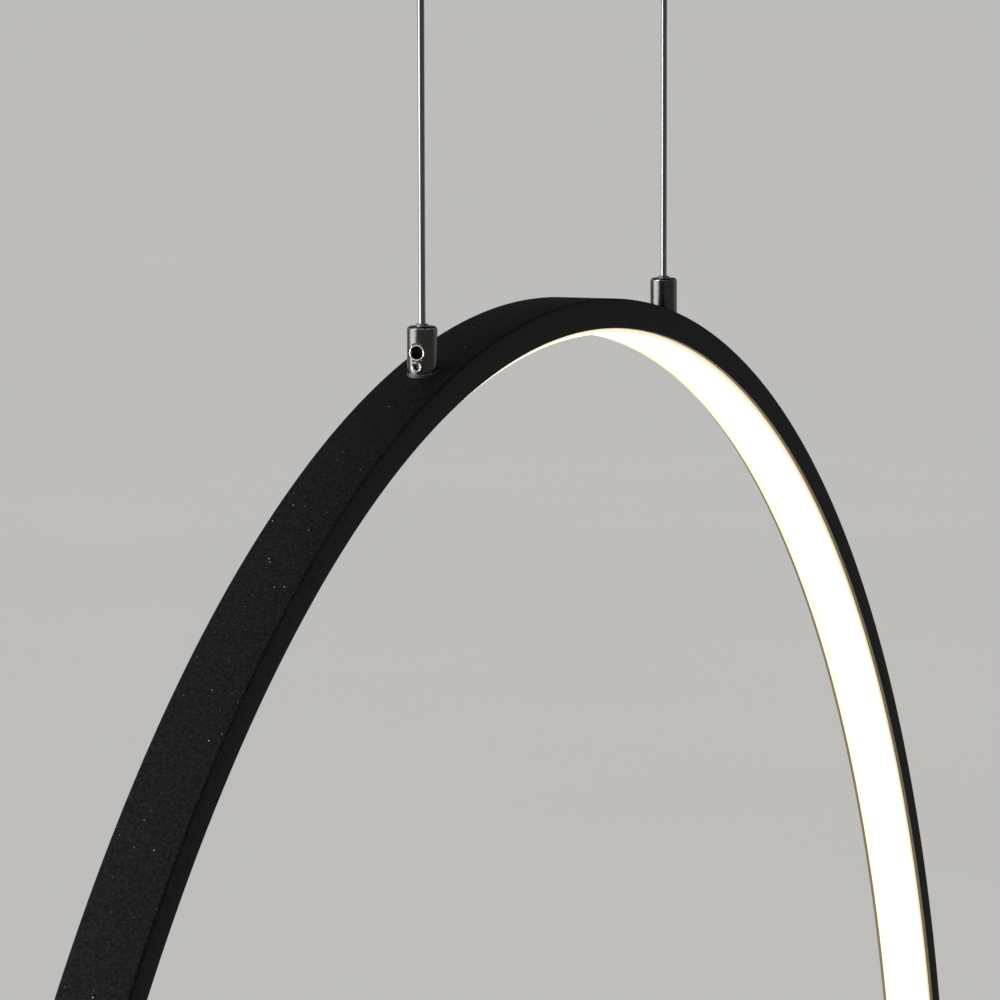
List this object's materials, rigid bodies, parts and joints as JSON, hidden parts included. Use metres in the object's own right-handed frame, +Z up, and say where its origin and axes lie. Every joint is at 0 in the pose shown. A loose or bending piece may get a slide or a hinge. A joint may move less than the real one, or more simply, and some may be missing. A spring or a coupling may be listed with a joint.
{
  "type": "led ring chandelier",
  "caption": "Slim black LED hoop lit on its inner face, hung upright from thin live cables in barrel grippers under a bar canopy with driver.",
  "frame": {"origin": "centre of the ceiling bracket's upper face, which lies against the ceiling", "axes": "+Z up into the ceiling, +X along the canopy and in the hoop's plane, +Y along the hoop's axis"},
  "size_m": [0.8, 0.0652, 0.93],
  "materials": {
    "hoop_black": "aluminium under fine-texture matte black powder coat",
    "canopy_black": "fine-texture matte black powder coat",
    "gripper_black": "polished black nickel",
    "collar_steel": "polished, dark",
    "screw_black": "blackened steel",
    "cable_black": "glossy black sheath",
    "diffuser_opal": "opal, lit warm white",
    "led_yellow": "phosphor, lit warm white",
    "strip_white": "white solder mask",
    "zinc_steel": "zinc plated",
    "brass": "turned",
    "tin": "tinned",
    "nylon_black": "moulded, satin",
    "nylon_natural": "moulded, satin",
    "grommet_rubber": "moulded",
    "driver_white": "moulded, fine texture",
    "board_green": "solder mask",
    "transformer_yellow": "tape wound",
    "capacitor_sleeve": "shrink sleeve",
    "splice_aluminium": "mill finish",
    "lead_red": "insulation",
    "lead_black": "insulation",
    "lead_brown": "insulation",
    "lead_earth": "green and yellow insulation"
  },
  "bodies": {
    "canopy": {"canopy_cover": "canopy_black", "canopy_screws": "screw_black", "ceiling_bracket": "zinc_steel", "entry_grommet": "grommet_rubber", "earth_screw": "brass", "terminal_block": "nylon_natural", "terminal_screws": "zinc_steel", "driver_base": "driver_white", "driver_case": "driver_white", "driver_screws": "zinc_steel", "driver_board": "board_green", "driver_transformer": "transformer_yellow", "driver_capacitors": "capacitor_sleeve", "supply_leads": "lead_brown", "earth_lead": "lead_earth", "output_lead_left": "lead_black", "output_lead_right": "lead_red", "exit_bush_left": "nylon_black", "contact_cup_left": "brass", "exit_nut_left": "nylon_black", "exit_bush_right": "nylon_black", "contact_cup_right": "brass", "exit_nut_right": "nylon_black"},
    "hoop": {"hoop_profile": "hoop_black", "diffuser": "diffuser_opal", "led_strip": "strip_white", "led_chips": "led_yellow", "splice_plate": "splice_aluminium", "splice_screws": "zinc_steel", "gripper_barrel_left": "gripper_black", "lock_balls_left": "zinc_steel", "lock_spring_left": "zinc_steel", "cable_tail_left": "cable_black", "grub_screw_left": "screw_black", "insulating_bush_left": "nylon_black", "saddle_washer_left": "nylon_natural", "contact_tag_left": "tin", "stud_nut_left": "brass", "gripper_stud_left": "brass", "hoop_lead_left": "lead_black", "gripper_barrel_right": "gripper_black", "lock_balls_right": "zinc_steel", "lock_spring_right": "zinc_steel", "cable_tail_right": "cable_black", "grub_screw_right": "screw_black", "insulating_bush_right": "nylon_black", "saddle_washer_right": "nylon_natural", "contact_tag_right": "tin", "stud_nut_right": "brass", "gripper_stud_right": "brass", "hoop_lead_right": "lead_red"},
    "swivel_left": {"stop_ball_left": "zinc_steel"},
    "cable_left": {"suspension_cable_left": "cable_black"},
    "collar_left": {"release_collar_left": "collar_steel"},
    "swivel_right": {"stop_ball_right": "zinc_steel"},
    "cable_right": {"suspension_cable_right": "cable_black"},
    "collar_right": {"release_collar_right": "collar_steel"}
  },
  "joints": [
    {"name": "swing_left", "type": "hinge", "parent": "canopy", "child": "swivel_left", "pos_m": [-0.098, 0, -0.026], "axis": [1, 0, 0], "range_deg": [-20, 20]},
    {"name": "sway_left", "type": "hinge", "parent": "swivel_left", "child": "cable_left", "pos_m": [-0.098, 0, -0.026], "axis": [0, 1, 0], "range_deg": [-8, 8]},
    {"name": "height_left", "type": "slide", "parent": "cable_left", "child": "collar_left", "axis": [0, 0, 1], "range_m": [0, 0.06], "deforming": ["suspension_cable_left"]},
    {"name": "hoop_level", "type": "hinge", "parent": "collar_left", "child": "hoop", "pos_m": [-0.098, 0, -0.12979], "axis": [0, 1, 0], "range_deg": [-8, 8]},
    {"name": "swing_right", "type": "hinge", "parent": "canopy", "child": "swivel_right", "pos_m": [0.098, 0, -0.026], "axis": [1, 0, 0], "range_deg": [-20, 20]},
    {"name": "sway_right", "type": "hinge", "parent": "swivel_right", "child": "cable_right", "pos_m": [0.098, 0, -0.026], "axis": [0, 1, 0], "range_deg": [-8, 8]},
    {"name": "height_right", "type": "slide", "parent": "cable_right", "child": "collar_right", "axis": [0, 0, 1], "range_m": [0, 0.06], "deforming": ["suspension_cable_right"]}
  ],
  "couplings": [
    {"joint": "swing_right", "follows": "swing_left", "ratio": 1},
    {"joint": "sway_right", "follows": "sway_left", "ratio": 1},
    {"joint": "hoop_level", "follows": "sway_left", "ratio": -1},
    {"joint": "height_right", "follows": "height_left", "ratio": 1}
  ]
}
